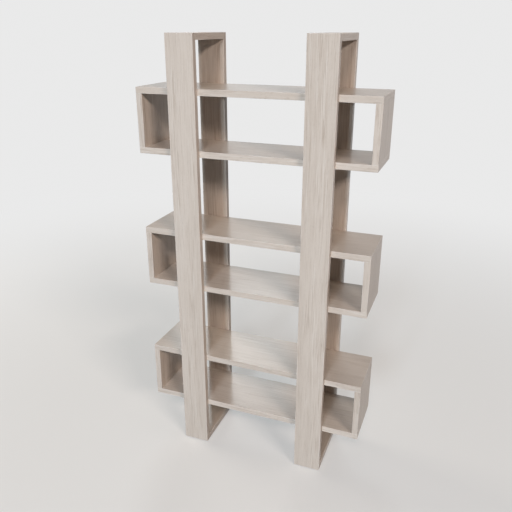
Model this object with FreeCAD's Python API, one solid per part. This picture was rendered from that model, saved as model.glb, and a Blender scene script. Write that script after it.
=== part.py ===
import FreeCAD, Part
import os
from math import sqrt

from FreeCAD import Vector

# Spine bookshelf. Two upright posts, each a closed loop of four boards, stand side by side, and three
# long boxes, open at the front and the back, are threaded through both loops. Every board is cut from
# the same panel and every joint is glued over flat wooden biscuits, so that no fixing shows.
# X runs along the shelves, Y from front to back and Z up. The origin lies on the floor, midway between
# the posts and midway from front to back. Lengths are in millimetres.

# Whole bookshelf
overall_height = 1800.0
overall_depth = 300.0
board_thickness = 25.0
edge_bevel = 1.0

# Posts
post_width = 114.0
post_spacing = 540.0

# Boxes
box_length = 960.0
box_height = 259.0
box_end_gap = 196.5
box_names = ("bottom", "middle", "top")

# Biscuits, in slots that a small disc cutter has plunged into both boards of a joint
cutter_radius = 50.0
biscuit_length = 56.0
biscuit_width = 23.0
biscuit_thickness = 4.0
biscuit_side_play = 0.05
biscuit_end_play = 0.8
corner_biscuit_inset = 60.0

# Nylon glides, pressed into the lower ends of the post boards
glide_diameter = 18.0
glide_height = 3.0
glide_bevel = 0.8
stem_diameter = 6.0
stem_play = 0.05
stem_end_space = 1.0
stem_to_slot_gap = 1.5

# The boxes fill the posts from front board to back board
box_depth = overall_depth - 2 * board_thickness
joint_y = box_depth / 2
post_board_y = joint_y + board_thickness / 2

# The posts' boards stand on the glides
post_board_length = overall_height - glide_height
post_middle_z = glide_height + post_board_length / 2
top_board_z = overall_height - board_thickness / 2
bottom_board_z = glide_height + board_thickness / 2

# The glides' holes stop short of the lowest biscuit slots, which run halfway up the bottom boards' ends
slot_thickness = biscuit_thickness + 2 * biscuit_side_play
stem_hole_depth = (board_thickness - slot_thickness) / 2 - stem_to_slot_gap
stem_length = stem_hole_depth - stem_end_space

# The lowest box is as far from the floor as the highest is from the posts' tops, with equal gaps between
box_step = (overall_height - 2 * box_end_gap - box_height) / (len(box_names) - 1)
box_end_x = (box_length - board_thickness) / 2
box_end_height = box_height - 2 * board_thickness

along_x = Vector(1, 0, 0)
along_y = Vector(0, 1, 0)
along_z = Vector(0, 0, 1)
parallel_tolerance = 1e-6

front_and_back = (("front", -1), ("back", 1))
left_and_right = (("left", -1), ("right", 1))
bottom_and_top = (("bottom", bottom_board_z), ("top", top_board_z))

boards = {}
biscuits = {}
glides = {}


def board(size, centre, held_along=None):
    """A flat board with bevelled edges. One that is held between two others keeps its held ends square."""
    blank = Part.makeBox(size.x, size.y, size.z, centre - size / 2)
    free_edges = blank.Edges
    if held_along is not None:
        free_edges = [e for e in blank.Edges if e.Curve.Direction.isParallel(held_along, parallel_tolerance)]
    return blank.makeChamfer(edge_bevel, free_edges)


def cutter_arc(middle, along, across, half_width, half_length):
    """The cutter's arc on one side of a joint. It is half_width away from the joint at its middle."""
    tip_width = half_width - cutter_radius + sqrt(cutter_radius**2 - half_length**2)
    tip = across * tip_width
    start = middle - along * half_length + tip
    end = middle + along * half_length + tip
    return Part.Arc(start, middle + across * half_width, end).toShape()


def slots(centre, along, across):
    """The slots on both sides of a joint, as one lens that spans it."""
    half_width = biscuit_width / 2 + biscuit_end_play
    half_length = sqrt(cutter_radius**2 - (cutter_radius - half_width) ** 2)
    thickness = along.cross(across) * slot_thickness
    middle = centre - thickness / 2
    near = cutter_arc(middle, along, across, half_width, half_length)
    far = cutter_arc(middle, along, -across, half_width, half_length)
    return Part.Face(Part.Wire([near, far])).extrude(thickness)


def biscuit(centre, along, across):
    """A flat wooden lens with blunt tips, pressed to the same curve as its slots."""
    thickness = along.cross(across) * biscuit_thickness
    middle = centre - thickness / 2
    near = cutter_arc(middle, along, across, biscuit_width / 2, biscuit_length / 2)
    far = cutter_arc(middle, along, -across, biscuit_width / 2, biscuit_length / 2)
    left_tip = Part.makeLine(near.Vertexes[0].Point, far.Vertexes[0].Point)
    right_tip = Part.makeLine(near.Vertexes[1].Point, far.Vertexes[1].Point)
    outline = Part.Wire([near, right_tip, far, left_tip])
    return Part.Face(outline).extrude(thickness)


def join(group, first, second, centre, along, across):
    """Slots two boards for one biscuit, which lies along the joint and reaches across it into both."""
    for name in (first, second):
        boards[name] = boards[name].cut(slots(centre, along, across))
    biscuits.setdefault(group, []).append(biscuit(centre, along, across))


def glide(x, y):
    """A round nylon glide: a bevelled head that stands on the floor, and a stem that fills its hole."""
    head = glide_diameter / 2
    stem = stem_diameter / 2
    top = glide_height + stem_length
    outline = [
        Vector(0, 0, 0),
        Vector(head - glide_bevel, 0, 0),
        Vector(head, 0, glide_bevel),
        Vector(head, 0, glide_height),
        Vector(stem, 0, glide_height),
        Vector(stem, 0, top),
        Vector(0, 0, top),
        Vector(0, 0, 0),
    ]
    body = Part.Face(Part.makePolygon(outline)).revolve(Vector(0, 0, 0), along_z, 360)
    body.translate(Vector(x, y, 0))
    return body


def fit_glide(post, name, x, y):
    """Drills the middle of a post board's lower end and presses a glide into it."""
    hole = Part.makeCylinder(stem_diameter / 2 + stem_play, stem_hole_depth, Vector(x, y, glide_height))
    boards[name] = boards[name].cut(hole)
    glides.setdefault(f"{post}_glides", []).append(glide(x, y))


def build_post(post, x):
    """A closed loop: front and back boards over the full height, with a short board held at each end."""
    tall = Vector(post_width, board_thickness, post_board_length)
    short = Vector(post_width, box_depth, board_thickness)
    for level, z in bottom_and_top:
        boards[f"{post}_{level}_board"] = board(short, Vector(x, 0, z), held_along=along_y)
    for face, side in front_and_back:
        name = f"{post}_{face}_board"
        boards[name] = board(tall, Vector(x, side * post_board_y, post_middle_z))
        fit_glide(post, name, x, side * post_board_y)
        for level, z in bottom_and_top:
            corner = Vector(x, side * joint_y, z)
            join(f"{post}_corner_biscuits", name, f"{post}_{level}_board", corner, along_x, along_y)


def shelf_levels(box_z):
    """For both shelves of a box with its underside at box_z: name, middle, and the face inside the box."""
    box_top = box_z + box_height
    lower = ("lower", box_z + board_thickness / 2, box_z + board_thickness)
    upper = ("upper", box_top - board_thickness / 2, box_top - board_thickness)
    return (lower, upper)


def build_box(box, box_z):
    """A long open box: two full-length shelves, with an end board held between them at each end."""
    shelf = Vector(box_length, box_depth, board_thickness)
    end = Vector(board_thickness, box_depth, box_end_height)
    for level, z, _ in shelf_levels(box_z):
        boards[f"{box}_{level}_shelf"] = board(shelf, Vector(0, 0, z))
    for hand, side in left_and_right:
        name = f"{box}_{hand}_end"
        end_x = side * box_end_x
        boards[name] = board(end, Vector(end_x, 0, box_z + box_height / 2), held_along=along_z)
        for level, _, inner_face_z in shelf_levels(box_z):
            for _, half in front_and_back:
                corner = Vector(end_x, half * (box_depth / 2 - corner_biscuit_inset), inner_face_z)
                join(f"{box}_corner_biscuits", name, f"{box}_{level}_shelf", corner, along_y, along_z)


def cross(post, x, box, box_z):
    """Joins both shelves of a box to the front and back boards of a post."""
    for level, z, _ in shelf_levels(box_z):
        for face, side in front_and_back:
            middle = Vector(x, side * joint_y, z)
            post_board = f"{post}_{face}_board"
            join(f"{box}_crossing_biscuits", post_board, f"{box}_{level}_shelf", middle, along_x, along_y)


def build_bookshelf():
    posts = [(f"{hand}_post", side * post_spacing / 2) for hand, side in left_and_right]
    boxes = [(f"{name}_box", box_end_gap + step * box_step) for step, name in enumerate(box_names)]
    for post, x in posts:
        build_post(post, x)
    for box, box_z in boxes:
        build_box(box, box_z)
        for post, x in posts:
            cross(post, x, box, box_z)


def export(node, shape):
    shape.exportStep(f"parts/{node}.step")


os.makedirs("parts", exist_ok=True)
build_bookshelf()
for node, shape in boards.items():
    export(node, shape)
for node, group in (biscuits | glides).items():
    export(node, Part.makeCompound(group))
print(f"{len(boards)} boards, {len(biscuits)} groups of biscuits, {len(glides)} groups of glides")
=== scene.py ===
import math
import random

import bpy
from mathutils import Matrix, Vector


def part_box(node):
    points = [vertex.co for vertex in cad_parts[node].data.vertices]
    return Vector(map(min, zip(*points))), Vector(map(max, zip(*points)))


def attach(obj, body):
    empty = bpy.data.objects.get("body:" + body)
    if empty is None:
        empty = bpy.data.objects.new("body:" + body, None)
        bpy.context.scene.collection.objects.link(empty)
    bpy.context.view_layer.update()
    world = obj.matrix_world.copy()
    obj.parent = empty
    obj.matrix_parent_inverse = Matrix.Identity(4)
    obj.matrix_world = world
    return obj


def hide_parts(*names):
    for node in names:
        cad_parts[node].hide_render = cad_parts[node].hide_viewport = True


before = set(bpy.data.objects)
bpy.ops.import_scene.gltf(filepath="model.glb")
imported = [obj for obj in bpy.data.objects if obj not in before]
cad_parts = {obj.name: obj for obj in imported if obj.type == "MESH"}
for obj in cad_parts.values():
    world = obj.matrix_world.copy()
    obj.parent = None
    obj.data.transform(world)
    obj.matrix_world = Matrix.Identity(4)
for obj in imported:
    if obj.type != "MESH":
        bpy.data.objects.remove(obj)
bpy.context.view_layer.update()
scene = bpy.context.scene
millimetre = 0.001
axes = {"X": Vector((1, 0, 0)), "Y": Vector((0, 1, 0)), "Z": Vector((0, 0, 1))}
print(f"frame: {len(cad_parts)} nodes of the bookshelf")


# A link where the value is a socket, and a plain setting where it isn't
def feed(tree, socket, value):
    if isinstance(value, bpy.types.NodeSocket):
        tree.links.new(value, socket)
    else:
        socket.default_value = value


def addNode(tree, kind, inputs=None, **settings):
    node = tree.nodes.new(kind)
    for name, value in settings.items():
        setattr(node, name, value)
    for key, value in (inputs or {}).items():
        feed(tree, node.inputs[key], value)
    return node


def calc(tree, operation, *values):
    node = addNode(tree, "ShaderNodeMath", dict(enumerate(values)), operation=operation)
    return node.outputs[0]


def vectorCalc(tree, operation, *values):
    node = addNode(tree, "ShaderNodeVectorMath", dict(enumerate(values)), operation=operation)
    return node.outputs["Value" if operation in ("DOT_PRODUCT", "LENGTH") else "Vector"]


# A value taken from one range to another, with soft ends
def ramp(tree, value, low, high, toLow=0.0, toHigh=1.0):
    inputs = {"Value": value, "From Min": low, "From Max": high, "To Min": toLow, "To Max": toHigh}
    return addNode(tree, "ShaderNodeMapRange", inputs, interpolation_type="SMOOTHSTEP").outputs["Result"]


def mixColor(tree, factor, first, second):
    node = addNode(tree, "ShaderNodeMix", data_type="RGBA")
    feed(tree, node.inputs[0], factor)
    feed(tree, node.inputs[6], first)
    feed(tree, node.inputs[7], second)
    return node.outputs[2]


# A tint laid over a color, as strongly as all the strengths multiplied
def overlay(tree, color, tint, *strengths):
    factor = strengths[0]
    for strength in strengths[1:]:
        factor = calc(tree, "MULTIPLY", factor, strength)
    return mixColor(tree, factor, color, tint)


# A value with a share of each part added
def addParts(tree, value, *parts):
    for part, share in parts:
        value = calc(tree, "ADD", value, calc(tree, "MULTIPLY", part, share))
    return value


# Noise for one layer of a finish. Its cells are how many fit in a metre along X, Y and Z, its detail is
# how many times finer noise is added, and its rough is how strong the finer noise is.
def layerNoise(tree, place, layer):
    inputs = {
        "Vector": vectorCalc(tree, "MULTIPLY", place, layer["cells"]),
        "Scale": 1.0,
        "Detail": layer["detail"],
        "Roughness": layer.get("rough", 0.5),
    }
    return addNode(tree, "ShaderNodeTexNoise", inputs).outputs["Fac"]


# Where a layer's marks lie: its range is the noise at which a mark begins and at which it is full
def marks(tree, place, layer):
    return ramp(tree, layerNoise(tree, place, layer), *layer["range"])


def addRelief(tree, shader, height, settings):
    inputs = {"Height": height, "Strength": settings["reliefStrength"], "Distance": settings["reliefDepth"]}
    bump = addNode(tree, "ShaderNodeBump", inputs)
    feed(tree, shader.inputs["Normal"], bump.outputs["Normal"])


def newGroup(kind, name, inputs, outputs):
    tree = bpy.data.node_groups.new(name, kind)
    for socketName, socketType in inputs:
        tree.interface.new_socket(socketName, in_out="INPUT", socket_type=socketType)
    for socketName, socketType in outputs:
        tree.interface.new_socket(socketName, in_out="OUTPUT", socket_type=socketType)
    return tree, tree.nodes.new("NodeGroupInput"), tree.nodes.new("NodeGroupOutput")


def newMaterial(name):
    material = bpy.data.materials.new(name)
    material.use_nodes = True
    tree = material.node_tree
    return material, tree, tree.nodes["Principled BSDF"]


# Camera, at standing height and a little to the right, turned down and left by so many radians
cameraSettings = {
    "place": (0.79067, -2.1275, 1.8179),
    "down": 0.37778,
    "left": 0.366277,
    "lens": 40.5278,
    "sensor": 36.0,
}


def addCamera(settings):
    data = bpy.data.cameras.new("camera")
    data.lens = settings["lens"]
    data.sensor_width = settings["sensor"]
    camera = bpy.data.objects.new("camera", data)
    camera.location = settings["place"]
    camera.rotation_euler = (math.pi / 2 - settings["down"], 0, settings["left"])
    scene.collection.objects.link(camera)
    scene.camera = camera


addCamera(cameraSettings)
print("camera: set")


# Whitewashed oak veneer under satin lacquer. Cells are counted along the grain, across the board and
# through it, and a layer's share is how much of its tint a full mark takes.
oakSettings = {
    "pale": (0.597, 0.529, 0.475, 1),
    "bandTint": (0.505, 0.437, 0.383, 1),
    "streakTint": (0.395, 0.318, 0.262, 1),
    "poreTint": (0.300, 0.236, 0.189, 1),
    # The whitewash's tint, which the pale streaks take and which the arrises take as a painted highlight
    "washAndHighlightTint": (0.700, 0.657, 0.620, 1),
    "wander": {"cells": (1.6, 4, 4), "detail": 1, "reach": 12 * millimetre},
    "bands": {"cells": (0.8, 30, 12), "detail": 2, "range": (0.35, 0.65), "share": 0.40},
    "patches": {"cells": (2.4, 26, 10), "detail": 1, "range": (0.40, 0.64), "between": 0.40},
    "streaks": {"cells": (8, 215, 90), "detail": 1, "rough": 0.4, "range": (0.52, 0.66), "share": 0.35},
    "fineStreaks": {"cells": (9, 420, 180), "detail": 1, "range": (0.50, 0.66), "share": 0.36},
    "paleStreaks": {"cells": (6, 280, 110), "detail": 1, "range": (0.56, 0.68), "share": 0.40},
    "fibres": {"cells": (11, 900, 400), "detail": 2, "rough": 0.6, "range": (0.35, 0.70), "share": 0.13},
    "pores": {"cells": (70, 2300, 900), "detail": 1, "limit": 0.66, "fade": 0.05, "share": 0.40},
    "poreLimitDrop": 0.08,  # inside a full streak
    # Along the arrises the whitewash's tint is laid on as a painted highlight
    "edgeWashAndHighlight": {"width": 2.2 * millimetre, "streakRange": (0.3, 0.6), "strength": (0.75, 0.35)},
    "roughness": 0.42,
    "fibreRoughness": 0.08,
    "poreRoughness": 0.2,
    "specular": 0.04,
    "lacquer": 0.50,
    "lacquerRoughness": 0.20,
    "reliefDepth": 0.25 * millimetre,  # of a pore, and the others are shares of it
    "reliefStrength": 0.6,
    "fibreRelief": 0.22,
    "streakRelief": 0.25,
    "endFacing": 0.8,  # how squarely a face looks along the grain to count as an end edge
}


# How far the grain strays to one side on its way along the board: up to its reach, either way
def grainWander(tree, place, layer):
    stray = calc(tree, "SUBTRACT", layerNoise(tree, place, layer), 0.5)
    stray = calc(tree, "MULTIPLY", stray, layer["reach"] * 2)
    return addNode(tree, "ShaderNodeCombineXYZ", {"Y": stray}).outputs[0]


# Next to an arris two of the three distances to the board's faces are small, so the middle one counts
def arrisDistance(tree, place, halfSize):
    distances = vectorCalc(tree, "SUBTRACT", halfSize, vectorCalc(tree, "ABSOLUTE", place))
    split = addNode(tree, "ShaderNodeSeparateXYZ", {0: distances}).outputs
    lower = calc(tree, "MINIMUM", split[0], split[1])
    upper = calc(tree, "MAXIMUM", split[0], split[1])
    return calc(tree, "MAXIMUM", lower, calc(tree, "MINIMUM", upper, split[2]))


# The pattern alone: X of Place runs along the grain, Y across the board and Z through it
def oakPattern(settings):
    tree, given, result = newGroup(
        "ShaderNodeTree",
        "whitewashedOakPattern",
        [
            ("Place", "NodeSocketVector"),
            ("Shift", "NodeSocketVector"),
            ("Half Size", "NodeSocketVector"),
            ("Tone", "NodeSocketFloat"),
            ("Figure", "NodeSocketFloat"),
        ],
        [
            ("Color", "NodeSocketColor"),
            ("Roughness", "NodeSocketFloat"),
            ("Relief", "NodeSocketFloat"),
        ],
    )
    place = vectorCalc(tree, "ADD", given.outputs["Place"], given.outputs["Shift"])
    place = vectorCalc(tree, "ADD", place, grainWander(tree, place, settings["wander"]))

    # Streaks are strong side by side in patches, and weaker between them
    patches = settings["patches"]
    patchPart = ramp(tree, layerNoise(tree, place, patches), *patches["range"], patches["between"], 1.0)
    streaks = layerNoise(tree, place, settings["streaks"])
    streakPart = calc(tree, "MULTIPLY", ramp(tree, streaks, *settings["streaks"]["range"]), patchPart)
    finePart = calc(tree, "MULTIPLY", marks(tree, place, settings["fineStreaks"]), patchPart)
    palePart = calc(tree, "MULTIPLY", marks(tree, place, settings["paleStreaks"]), patchPart)
    bandPart = marks(tree, place, settings["bands"])
    fibrePart = marks(tree, place, settings["fibres"])

    # Pores are closer together in the streaks
    pores = settings["pores"]
    drop = calc(tree, "MULTIPLY", streakPart, settings["poreLimitDrop"])
    limit = calc(tree, "SUBTRACT", pores["limit"], drop)
    overLimit = calc(tree, "SUBTRACT", layerNoise(tree, place, pores), limit)
    porePart = ramp(tree, overLimit, 0.0, pores["fade"])

    figure = given.outputs["Figure"]
    color = settings["pale"]
    color = overlay(tree, color, settings["bandTint"], bandPart, settings["bands"]["share"], figure)
    color = overlay(tree, color, settings["streakTint"], streakPart, settings["streaks"]["share"], figure)
    color = overlay(tree, color, settings["streakTint"], finePart, settings["fineStreaks"]["share"], figure)
    color = overlay(tree, color, settings["washAndHighlightTint"], palePart, settings["paleStreaks"]["share"])
    color = overlay(tree, color, settings["streakTint"], fibrePart, settings["fibres"]["share"])
    color = overlay(tree, color, settings["poreTint"], porePart, pores["share"])

    # The arrises are painted paler, a painted highlight along each edge over the whitewash there, and less
    # so where a streak meets them
    washAndHighlight = settings["edgeWashAndHighlight"]
    distance = arrisDistance(tree, given.outputs["Place"], given.outputs["Half Size"])
    washAndHighlightPart = ramp(tree, distance, 0.0, washAndHighlight["width"], 1.0, 0.0)
    strength = ramp(tree, streaks, *washAndHighlight["streakRange"], *washAndHighlight["strength"])
    color = overlay(tree, color, settings["washAndHighlightTint"], washAndHighlightPart, strength)
    tone = addNode(tree, "ShaderNodeHueSaturation", {"Value": given.outputs["Tone"], "Color": color})
    feed(tree, result.inputs["Color"], tone.outputs["Color"])

    smoothest = settings["roughness"] - settings["fibreRoughness"] / 2
    fibreRise = (fibrePart, settings["fibreRoughness"])
    poreRise = (porePart, settings["poreRoughness"])
    feed(tree, result.inputs["Roughness"], addParts(tree, smoothest, fibreRise, poreRise))

    fibreFall = (fibrePart, -settings["fibreRelief"])
    streakFall = (streakPart, -settings["streakRelief"])
    feed(tree, result.inputs["Relief"], addParts(tree, 0.0, fibreFall, streakFall, (porePart, -1.0)))
    return tree


# One board's finish. Its two end edges are banded with veneer that runs along them.
def oakFinish(name, pattern, turn, centre, halfSize, shift, tone, figure):
    material, tree, shader = newMaterial(name)
    coordinates = addNode(tree, "ShaderNodeTexCoord").outputs["Object"]
    inputs = {"Vector": coordinates, "Location": centre, "Rotation": turn.to_euler()}
    place = addNode(tree, "ShaderNodeMapping", inputs, vector_type="TEXTURE").outputs[0]
    normal = addNode(tree, "ShaderNodeNewGeometry").outputs["Normal"]
    facing = calc(tree, "ABSOLUTE", vectorCalc(tree, "DOT_PRODUCT", normal, turn @ axes["X"]))
    onEnd = calc(tree, "GREATER_THAN", facing, oakSettings["endFacing"])
    split = addNode(tree, "ShaderNodeSeparateXYZ", {0: place}).outputs
    banding = {"X": split[1], "Y": split[2], "Z": split[0]}
    bandingPlace = addNode(tree, "ShaderNodeCombineXYZ", banding).outputs[0]

    grain = addNode(tree, "ShaderNodeGroup", node_tree=pattern)
    choices = {"Place": (place, bandingPlace), "Half Size": (halfSize, halfSize.yzx)}
    for socketName, (onFace, onBanding) in choices.items():
        choice = addNode(tree, "ShaderNodeMix", data_type="VECTOR")
        feed(tree, choice.inputs[0], onEnd)
        feed(tree, choice.inputs[4], onFace)
        feed(tree, choice.inputs[5], onBanding)
        feed(tree, grain.inputs[socketName], choice.outputs[1])
    feed(tree, grain.inputs["Shift"], shift)
    feed(tree, grain.inputs["Tone"], tone)
    feed(tree, grain.inputs["Figure"], figure)

    feed(tree, shader.inputs["Base Color"], grain.outputs["Color"])
    feed(tree, shader.inputs["Roughness"], grain.outputs["Roughness"])
    shader.inputs["Specular IOR Level"].default_value = oakSettings["specular"]
    shader.inputs["Coat Weight"].default_value = oakSettings["lacquer"]
    shader.inputs["Coat Roughness"].default_value = oakSettings["lacquerRoughness"]
    addRelief(tree, shader, grain.outputs["Relief"], oakSettings)
    return material


oak = oakPattern(oakSettings)
print("oak: pattern drawn")


# Boards: grain is the axis that the veneer runs along, held the one whose ends stay square in a joint
boardSettings = {
    "edgeRadius": 1.0 * millimetre,
    "roundingSteps": 2,
    "flatLimit": 0.999,  # of the longest part of a face's normal
    "seed": 11,
    "shiftSpread": 40,  # metres of pattern to either side
    "toneSpread": 0.025,
    "kinds": {
        "front_board": {"grain": "Z", "held": None, "tone": 1.035, "figure": 1.0},
        "back_board": {"grain": "Z", "held": None, "tone": 1.05, "figure": 1.7},
        "top_board": {"grain": "Y", "held": "Y", "tone": 1.02, "figure": 1.0},
        "bottom_board": {"grain": "Y", "held": "Y", "tone": 1.0, "figure": 1.0},
        "shelf": {"grain": "X", "held": None, "tone": 1.035, "figure": 0.85},
        "end": {"grain": "Z", "held": "Z", "tone": 1.02, "figure": 1.1},
    },
}


# A board with rounded arrises. A cube's outer rows of points are gathered at its edges and pushed out
# on to the rounding, and a held end is the same rounding cut off square.
def easedBoardTree(settings):
    tree, given, result = newGroup(
        "GeometryNodeTree",
        "easedBoard",
        [
            ("Centre", "NodeSocketVector"),
            ("Size", "NodeSocketVector"),
            ("Edge Radius", "NodeSocketFloat"),
            ("Held Axis", "NodeSocketVector"),
            ("Finish", "NodeSocketMaterial"),
        ],
        [("Board", "NodeSocketGeometry")],
    )
    rows = 2 * (settings["roundingSteps"] + 1)
    inputs = {"Size": (2, 2, 2), "Vertices X": rows, "Vertices Y": rows, "Vertices Z": rows}
    cube = addNode(tree, "GeometryNodeMeshCube", inputs)
    corner = addNode(tree, "GeometryNodeInputPosition").outputs[0]
    side = vectorCalc(tree, "SIGN", corner)
    firstRow = 1 / (rows - 1)
    reach = vectorCalc(tree, "SUBTRACT", vectorCalc(tree, "ABSOLUTE", corner), (firstRow,) * 3)
    outward = vectorCalc(tree, "NORMALIZE", vectorCalc(tree, "MAXIMUM", reach, (0, 0, 0)))

    half = vectorCalc(tree, "MULTIPLY", given.outputs["Size"], (0.5, 0.5, 0.5))
    free = vectorCalc(tree, "SUBTRACT", (1, 1, 1), given.outputs["Held Axis"])
    radius = given.outputs["Edge Radius"]
    inner = vectorCalc(tree, "SUBTRACT", half, vectorCalc(tree, "MULTIPLY", free, radius))
    rounded = vectorCalc(tree, "ADD", inner, vectorCalc(tree, "MULTIPLY", outward, radius))
    outline = vectorCalc(tree, "MULTIPLY", side, vectorCalc(tree, "MINIMUM", rounded, half))
    place = vectorCalc(tree, "ADD", outline, given.outputs["Centre"])
    shaped = addNode(tree, "GeometryNodeSetPosition", {"Geometry": cube.outputs["Mesh"], "Position": place})

    # Only the narrow faces of the rounding are shaded smooth
    normal = vectorCalc(tree, "ABSOLUTE", addNode(tree, "GeometryNodeInputNormal").outputs[0])
    split = addNode(tree, "ShaderNodeSeparateXYZ", {0: normal}).outputs
    most = calc(tree, "MAXIMUM", calc(tree, "MAXIMUM", split[0], split[1]), split[2])
    onRounding = calc(tree, "LESS_THAN", most, settings["flatLimit"])
    shading = {"Geometry": shaped.outputs[0], "Shade Smooth": onRounding}
    smooth = addNode(tree, "GeometryNodeSetShadeSmooth", shading)
    whole = addNode(tree, "GeometryNodeRealizeInstances", {"Geometry": smooth.outputs[0]})
    finish = {"Geometry": whole.outputs[0], "Material": given.outputs["Finish"]}
    finished = addNode(tree, "GeometryNodeSetMaterial", finish)
    feed(tree, result.inputs["Board"], finished.outputs[0])
    return tree


def meshFromTree(name, tree, values):
    piece = bpy.data.objects.new(name, bpy.data.meshes.new(name))
    scene.collection.objects.link(piece)
    modifier = piece.modifiers.new(tree.name, "NODES")
    modifier.node_group = tree
    for socket in tree.interface.items_tree:
        if socket.name in values:
            modifier[socket.identifier] = values[socket.name]
    view = bpy.context.evaluated_depsgraph_get()
    mesh = bpy.data.meshes.new_from_object(piece.evaluated_get(view), depsgraph=view)
    piece.modifiers.remove(modifier)
    piece.data = mesh
    mesh.name = name
    return piece


# Turns X to the grain, and Z to the board's thickness
def grainTurn(size, grain):
    along = axes[grain]
    through = axes["XYZ"[min(range(3), key=lambda axis: size[axis])]]
    return Matrix((along, through.cross(along), through)).transposed()


# Each board gets its own stretch of the pattern, and a tone a little off its kind's
def addBoard(node, kind, tree, dice, settings):
    low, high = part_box(node)
    centre = (low + high) / 2
    size = high - low
    turn = grainTurn(size, kind["grain"])
    halfSize = Vector(abs(length) for length in turn.transposed() @ (size / 2))
    spread = settings["shiftSpread"]
    shift = Vector(dice.uniform(-spread, spread) for _ in range(3))
    tone = kind["tone"] + dice.uniform(-1, 1) * settings["toneSpread"]
    name = f"whitewashedOak_{node}"
    values = {
        "Centre": centre,
        "Size": size,
        "Edge Radius": settings["edgeRadius"],
        "Held Axis": axes[kind["held"]] if kind["held"] else Vector(),
        "Finish": oakFinish(name, oak, turn, centre, halfSize, shift, tone, kind["figure"]),
    }
    board = meshFromTree(f"oak_{node}", tree, values)
    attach(board, "root")
    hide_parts(node)


def addBoards(settings):
    tree = easedBoardTree(settings)
    dice = random.Random(settings["seed"])
    count = 0
    for node in sorted(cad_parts):
        for ending, kind in settings["kinds"].items():
            if node.endswith(ending):
                addBoard(node, kind, tree, dice, settings)
                count += 1
    print(f"boards: {count} made")


addBoards(boardSettings)


# Beech biscuits, out of sight in their slots: the pale face of pressed wood, grain at a slant
biscuitSettings = {
    "pale": (0.62, 0.44, 0.29, 1),
    "dark": (0.44, 0.28, 0.17, 1),
    "grain": {"cells": (60, 900, 400), "detail": 3, "range": (0.35, 0.7)},
    "slant": math.radians(35),
    "roughness": 0.75,
    "grainRoughness": 0.1,
    "reliefDepth": 0.2 * millimetre,
    "reliefStrength": 0.4,
}


def beechFinish(settings):
    material, tree, shader = newMaterial("pressedBeech")
    coordinates = addNode(tree, "ShaderNodeTexCoord").outputs["Object"]
    inputs = {"Vector": coordinates, "Rotation": (settings["slant"],) * 3}
    place = addNode(tree, "ShaderNodeMapping", inputs).outputs[0]
    grain = marks(tree, place, settings["grain"])
    roughness = addParts(tree, settings["roughness"], (grain, settings["grainRoughness"]))
    feed(tree, shader.inputs["Base Color"], mixColor(tree, grain, settings["pale"], settings["dark"]))
    feed(tree, shader.inputs["Roughness"], roughness)
    addRelief(tree, shader, grain, settings)
    return material


# Nylon glides, moulded in off-white, with faint scuffs from the floor
glideSettings = {
    "clean": (0.72, 0.70, 0.66, 1),
    "scuffed": (0.50, 0.48, 0.44, 1),
    "scuffs": {"cells": (160, 160, 160), "detail": 4, "range": (0.5, 0.7)},
    "specks": {"cells": (900, 900, 900), "detail": 2},
    "roughness": 0.38,
    "scuffRoughness": 0.25,
    "reliefDepth": 0.1 * millimetre,
    "reliefStrength": 0.3,
}


def nylonFinish(settings):
    material, tree, shader = newMaterial("nylon")
    place = addNode(tree, "ShaderNodeTexCoord").outputs["Object"]
    worn = marks(tree, place, settings["scuffs"])
    roughness = addParts(tree, settings["roughness"], (worn, settings["scuffRoughness"]))
    feed(tree, shader.inputs["Base Color"], mixColor(tree, worn, settings["clean"], settings["scuffed"]))
    feed(tree, shader.inputs["Roughness"], roughness)
    addRelief(tree, shader, layerNoise(tree, place, settings["specks"]), settings)
    return material


def dressNodes(ending, material):
    for name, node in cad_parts.items():
        if name.endswith(ending):
            node.data.materials.clear()
            node.data.materials.append(material)


dressNodes("biscuits", beechFinish(biscuitSettings))
dressNodes("glides", nylonFinish(glideSettings))
print("biscuits and glides: finished")


# Floor and world, one pale tone to the horizon. The rays that show the floor meet its tone, and all
# other light meets the unseen tone. Its glow is the share of even tone close by, which rises to a whole
# from the first distance of the fade to the second, so that the shadows fade out.
floorSettings = {
    "reach": 60.0,
    "tone": (0.82, 0.82, 0.82, 1),
    "unseenTone": (0.06, 0.06, 0.06, 1),
    "roughness": 0.9,
    "specular": 0.1,
    "glow": 0.35,
    "fade": (0.8, 4.5),
}
worldSettings = {"light": (0.02, 0.02, 0.02, 1)}


# The rays that show the background: the camera's own, and those that gloss and glass send on
def shownRays(tree):
    path = addNode(tree, "ShaderNodeLightPath").outputs
    seen = calc(tree, "MAXIMUM", path["Is Camera Ray"], path["Is Glossy Ray"])
    return calc(tree, "MAXIMUM", seen, path["Is Transmission Ray"])


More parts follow.
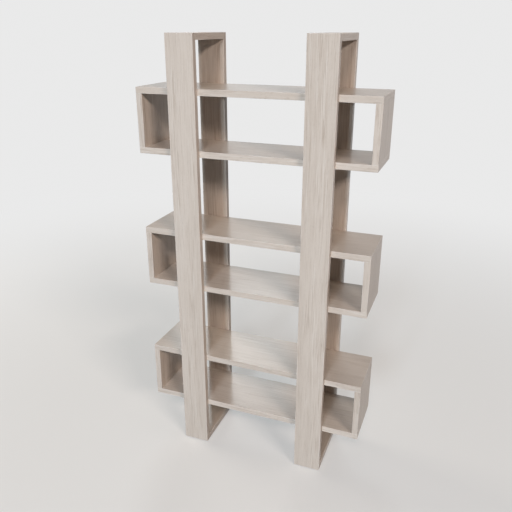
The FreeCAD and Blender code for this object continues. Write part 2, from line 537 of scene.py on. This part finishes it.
def addFloor(settings):
    reach = settings["reach"]
    corners = [(-reach, -reach, 0), (reach, -reach, 0), (reach, reach, 0), (-reach, reach, 0)]
    mesh = bpy.data.meshes.new("floor")
    mesh.from_pydata(corners, [], [(0, 1, 2, 3)])
    floor = bpy.data.objects.new("floor", mesh)
    scene.collection.objects.link(floor)
    material, tree, shader = newMaterial("paleFloor")
    seen = shownRays(tree)
    feed(tree, shader.inputs["Base Color"], mixColor(tree, seen, settings["unseenTone"], settings["tone"]))
    shader.inputs["Roughness"].default_value = settings["roughness"]
    shader.inputs["Specular IOR Level"].default_value = settings["specular"]

    # An even tone, which only shown rays meet, is mixed in more and more with the distance
    distance = vectorCalc(tree, "LENGTH", addNode(tree, "ShaderNodeTexCoord").outputs["Object"])
    glow = ramp(tree, distance, *settings["fade"], settings["glow"], 1.0)
    glow = calc(tree, "MULTIPLY", glow, seen)
    even = addNode(tree, "ShaderNodeEmission", {"Color": settings["tone"]})
    blend = addNode(tree, "ShaderNodeMixShader", {0: glow, 1: shader.outputs[0], 2: even.outputs[0]})
    feed(tree, tree.nodes["Material Output"].inputs["Surface"], blend.outputs[0])
    mesh.materials.append(material)


def addWorld(settings, shown):
    world = bpy.data.worlds.new("studio")
    scene.world = world
    world.use_nodes = True
    tree = world.node_tree
    color = mixColor(tree, shownRays(tree), settings["light"], shown)
    feed(tree, tree.nodes["Background"].inputs["Color"], color)


# Soft boxes, each aimed at the middle of the bookshelf. The lacquer mirrors only the reflected ones.
lightSettings = {
    "aim": (0, 0, 0.9),
    "reflected": ("back",),
    "lamps": {
        "key": {"place": (12.75, -9.9, 8.85), "size": (6.0, 1.05), "power": 1665, "tint": (1, 0.87, 0.78)},
        "front": {"place": (0, -15, 3.9), "size": (2.4, 1.05), "power": 1630, "tint": (0.78, 0.91, 1)},
        "upper": {"place": (2.25, -12, 11.5), "size": (2.4, 2.4), "power": 484, "tint": (1, 0.81, 0.68)},
        "left": {"place": (-5.4, 1, 3.2), "size": (2.0, 2.0), "power": 67, "tint": (1, 0.91, 0.73)},
        "back": {"place": (-3.5, 7.8, 6.0), "size": (2.6, 2.4), "power": 148, "tint": (0.88, 0.965, 1)},
        "rear": {"place": (-2, 10, 1.0), "size": (3.0, 1.6), "power": 455, "tint": (1, 0.98, 0.95)},
        "side": {"place": (-9, 1.5, 1.0), "size": (3.0, 1.6), "power": 270, "tint": (1, 0.98, 0.95)},
    },
}


def addLights(settings):
    aim = Vector(settings["aim"])
    for name, lamp in settings["lamps"].items():
        data = bpy.data.lights.new(f"{name}Light", "AREA")
        data.shape = "RECTANGLE"
        data.size, data.size_y = lamp["size"]
        data.energy = lamp["power"]
        data.color = lamp["tint"]
        light = bpy.data.objects.new(f"{name}Light", data)
        light.location = lamp["place"]
        light.rotation_euler = (aim - light.location).to_track_quat("-Z", "Y").to_euler()
        light.visible_glossy = name in settings["reflected"]
        scene.collection.objects.link(light)


addFloor(floorSettings)
addWorld(worldSettings, floorSettings["tone"])
addLights(lightSettings)
scene.view_settings.view_transform = "Standard"
print("studio: floor, world and lights set")
